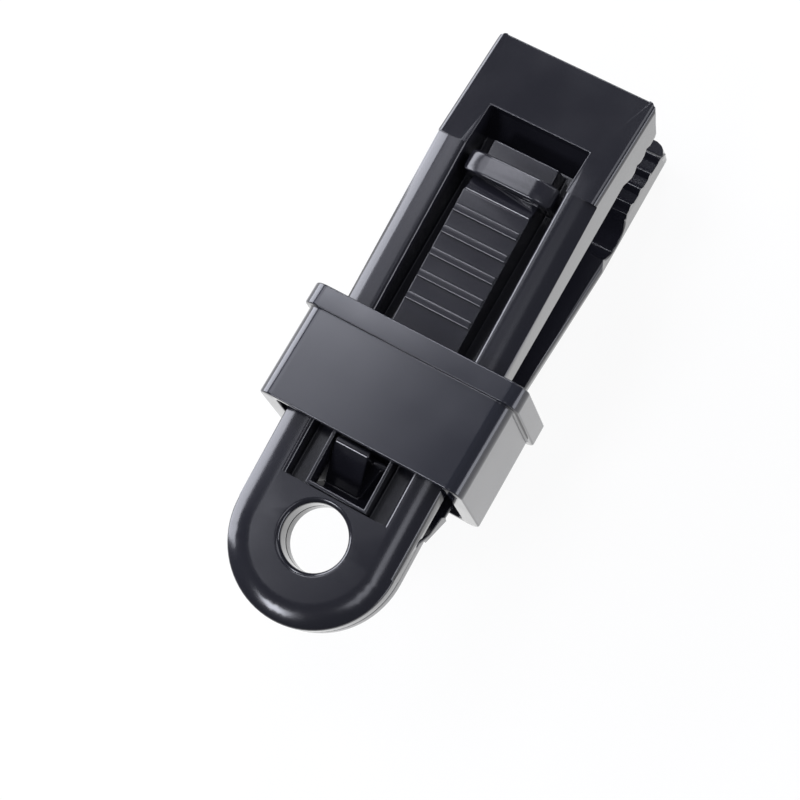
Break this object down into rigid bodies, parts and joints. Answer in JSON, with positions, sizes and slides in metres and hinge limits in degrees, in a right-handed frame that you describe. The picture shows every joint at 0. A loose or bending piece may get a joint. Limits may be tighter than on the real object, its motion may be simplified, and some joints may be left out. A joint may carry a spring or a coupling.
{
  "type": "tarp clip",
  "caption": "Plastic tarp clip: two toothed jaw arms joined at an eye, closed and locked by a collar that slides along them.",
  "frame": {"origin": "on the axis of the eye's bore, at the seam between the two arms", "axes": "+Y from the eye to the jaws, +Z out of the upper arm's face along the eye's bore, X across the arms"},
  "size_m": [0.0386, 0.0982, 0.0312],
  "materials": {
    "upper_plastic": "black moulded ABS, satin gloss with soft moulding waves",
    "lower_plastic": "black moulded ABS, satin gloss",
    "collar_plastic": "black moulded ABS, finer satin face"
  },
  "bodies": {
    "lower_arm": {"lower_jaw": "lower_plastic"},
    "upper_arm": {"upper_jaw": "upper_plastic"},
    "collar": {"lock_collar": "collar_plastic"}
  },
  "joints": [
    {"name": "collar_slide", "type": "slide", "parent": "lower_arm", "child": "collar", "axis": [0, 0.9608, -0.2773], "range_m": [0, 0.0205]},
    {"name": "jaw_hinge", "type": "hinge", "parent": "lower_arm", "child": "upper_arm", "pos_m": [0, 0.0069, 0], "axis": [-1, 0, 0], "range_deg": [0, 7.6]}
  ],
  "couplings": [
    {"joint": "jaw_hinge", "follows": "collar_slide", "rad_per_m": 6.47}
  ]
}
